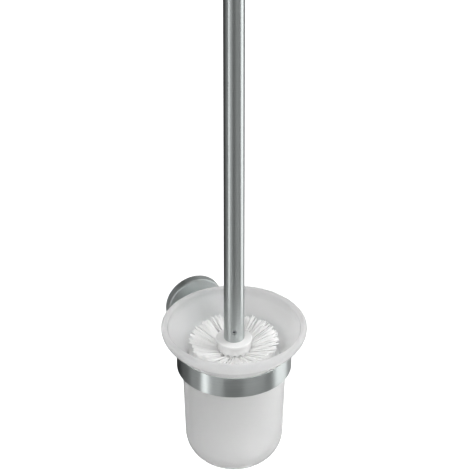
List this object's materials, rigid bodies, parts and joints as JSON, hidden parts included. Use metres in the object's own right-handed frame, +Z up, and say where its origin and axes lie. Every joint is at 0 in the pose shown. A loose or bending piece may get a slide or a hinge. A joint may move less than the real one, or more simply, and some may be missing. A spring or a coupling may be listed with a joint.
{
  "type": "toilet brush holder",
  "caption": "Wall-mounted toilet brush holder: a round rosette and arm carry a steel ring with a flared frosted glass cup, and a tufted brush with a tall tube handle lifts out of it.",
  "frame": {"origin": "centre of the rosette and of the two wall screw holes, on the wall's surface", "axes": "+Y into the wall, so the holder stands out along -Y; +Z up along the cup, ring and handle; +X to the right seen from the front"},
  "size_m": [0.1145, 0.1412, 0.4219],
  "materials": {
    "brushed_stainless": "brushed satin, round the handle, the ring and the rosette",
    "plated_steel": "zinc plated, plain",
    "frosted_glass": "satin frosted, white",
    "liner_plastic": "moulded, matt",
    "white_plastic": "moulded, satin white",
    "bristle": "drawn white filament in tufts"
  },
  "bodies": {
    "holder": {"wall_plate": "plated_steel", "rosette_cover": "brushed_stainless", "rosette_screw": "plated_steel", "support_arm": "brushed_stainless", "arm_screw": "plated_steel", "ring_band": "brushed_stainless", "ring_liner": "liner_plastic"},
    "cup": {"glass_cup": "frosted_glass"},
    "brush": {"brush_hub": "white_plastic", "bristle_row_1": "bristle", "bristle_row_2": "bristle", "bristle_row_3": "bristle", "bristle_row_4": "bristle", "bristle_row_5": "bristle", "bristle_row_6": "bristle", "bristle_row_7": "bristle", "bristle_row_8": "bristle", "bristle_crown": "bristle", "bristle_tip": "bristle", "handle_tube": "brushed_stainless", "handle_cap": "brushed_stainless", "handle_insert": "plated_steel", "handle_screw": "plated_steel"}
  },
  "joints": [
    {"name": "cup_lift", "type": "slide", "parent": "holder", "child": "cup", "axis": [0, 0, 1], "range_m": [0, 0.112]},
    {"name": "brush_lift", "type": "slide", "parent": "cup", "child": "brush", "axis": [0, 0, 1], "range_m": [0, 0.128]}
  ]
}
